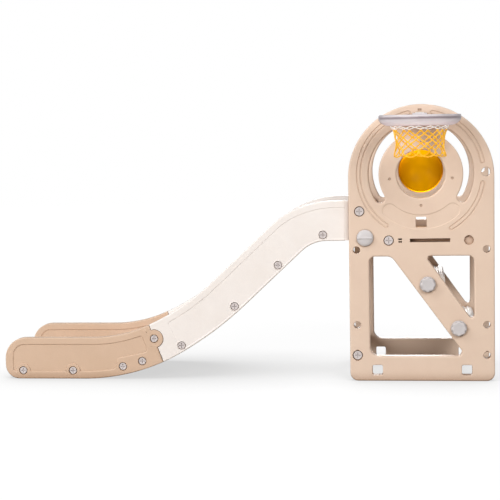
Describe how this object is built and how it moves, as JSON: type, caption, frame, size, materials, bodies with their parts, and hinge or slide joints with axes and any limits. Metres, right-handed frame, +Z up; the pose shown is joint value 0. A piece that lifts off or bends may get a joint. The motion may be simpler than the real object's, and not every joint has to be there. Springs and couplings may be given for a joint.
{
  "type": "kids slide",
  "caption": "Toddler climb-and-slide: arched side panels with a deck and treads, a two-part slide, a throwing hoop with net and an amber bubble window.",
  "frame": {"origin": "on the floor, under the middle of the whole slide's bounding box", "axes": "+X from the slide's foot towards the climbing tower, +Y from the panel with the hoop to the panel with the bubble window, +Z up"},
  "size_m": [1.7494, 0.783, 0.96],
  "materials": {
    "beige_plastic": "blow-moulded polyethylene, fine satin grain",
    "white_plastic": "blow-moulded polyethylene, fine satin grain",
    "grey_plastic": "moulded, semi-matt",
    "clear_plastic": "clouded clear, glossy",
    "amber_plastic": "see-through amber, glossy",
    "yellow_cord": "twisted cord",
    "white_cord": "twisted cord"
  },
  "bodies": {
    "frame": {"side_panel_near": "beige_plastic", "side_panel_far": "beige_plastic", "deck": "beige_plastic", "cross_bar": "beige_plastic", "lower_bed": "beige_plastic", "lower_rail_near": "beige_plastic", "lower_rail_far": "beige_plastic", "upper_bed": "white_plastic", "upper_rail_near": "white_plastic", "upper_rail_far": "white_plastic", "tread_upper": "grey_plastic", "tread_lower": "grey_plastic", "tread_nut_upper_near": "grey_plastic", "tread_nut_lower_near": "grey_plastic", "tongue_screw_near": "grey_plastic", "deck_screw_near": "grey_plastic", "cross_bar_screw_near": "grey_plastic", "joint_screw_near": "grey_plastic", "lower_rail_screw_near_1": "grey_plastic", "lower_rail_screw_near_2": "grey_plastic", "lower_rail_screw_near_3": "grey_plastic", "lower_rail_screw_near_4": "grey_plastic", "upper_rail_screw_near_1": "grey_plastic", "upper_rail_screw_near_2": "grey_plastic", "upper_rail_screw_near_3": "grey_plastic", "upper_rail_screw_near_4": "grey_plastic", "tread_nut_upper_far": "grey_plastic", "tread_nut_lower_far": "grey_plastic", "tongue_screw_far": "grey_plastic", "deck_screw_far": "grey_plastic", "cross_bar_screw_far": "grey_plastic", "joint_screw_far": "grey_plastic", "lower_rail_screw_far_1": "grey_plastic", "lower_rail_screw_far_2": "grey_plastic", "lower_rail_screw_far_3": "grey_plastic", "lower_rail_screw_far_4": "grey_plastic", "upper_rail_screw_far_1": "grey_plastic", "upper_rail_screw_far_2": "grey_plastic", "upper_rail_screw_far_3": "grey_plastic", "upper_rail_screw_far_4": "grey_plastic", "window_screw_1": "grey_plastic", "window_screw_2": "grey_plastic", "window_screw_3": "grey_plastic", "window_screw_4": "grey_plastic", "bubble_window": "amber_plastic"},
    "lock_near": {"lock_knob_near": "grey_plastic", "lock_bar_near": "grey_plastic"},
    "lock_far": {"lock_knob_far": "grey_plastic", "lock_bar_far": "grey_plastic"},
    "hoop": {"hoop_ring": "clear_plastic", "hoop_hook": "clear_plastic", "hoop_screw": "grey_plastic", "net_tie": "white_cord", "hoop_net": "yellow_cord"}
  },
  "joints": [
    {"name": "lock_near_turn", "type": "hinge", "parent": "frame", "child": "lock_near", "pos_m": [0.4312, -0.1085, 0.5015], "axis": [0, 1, 0], "range_deg": [0, 90]},
    {"name": "lock_far_turn", "type": "hinge", "parent": "frame", "child": "lock_far", "pos_m": [0.4312, 0.3425, 0.5015], "axis": [0, -1, 0], "range_deg": [0, 90]},
    {"name": "hoop_lift", "type": "slide", "parent": "frame", "child": "hoop", "axis": [0, 0, 1], "range_m": [0, 0.0055]}
  ]
}
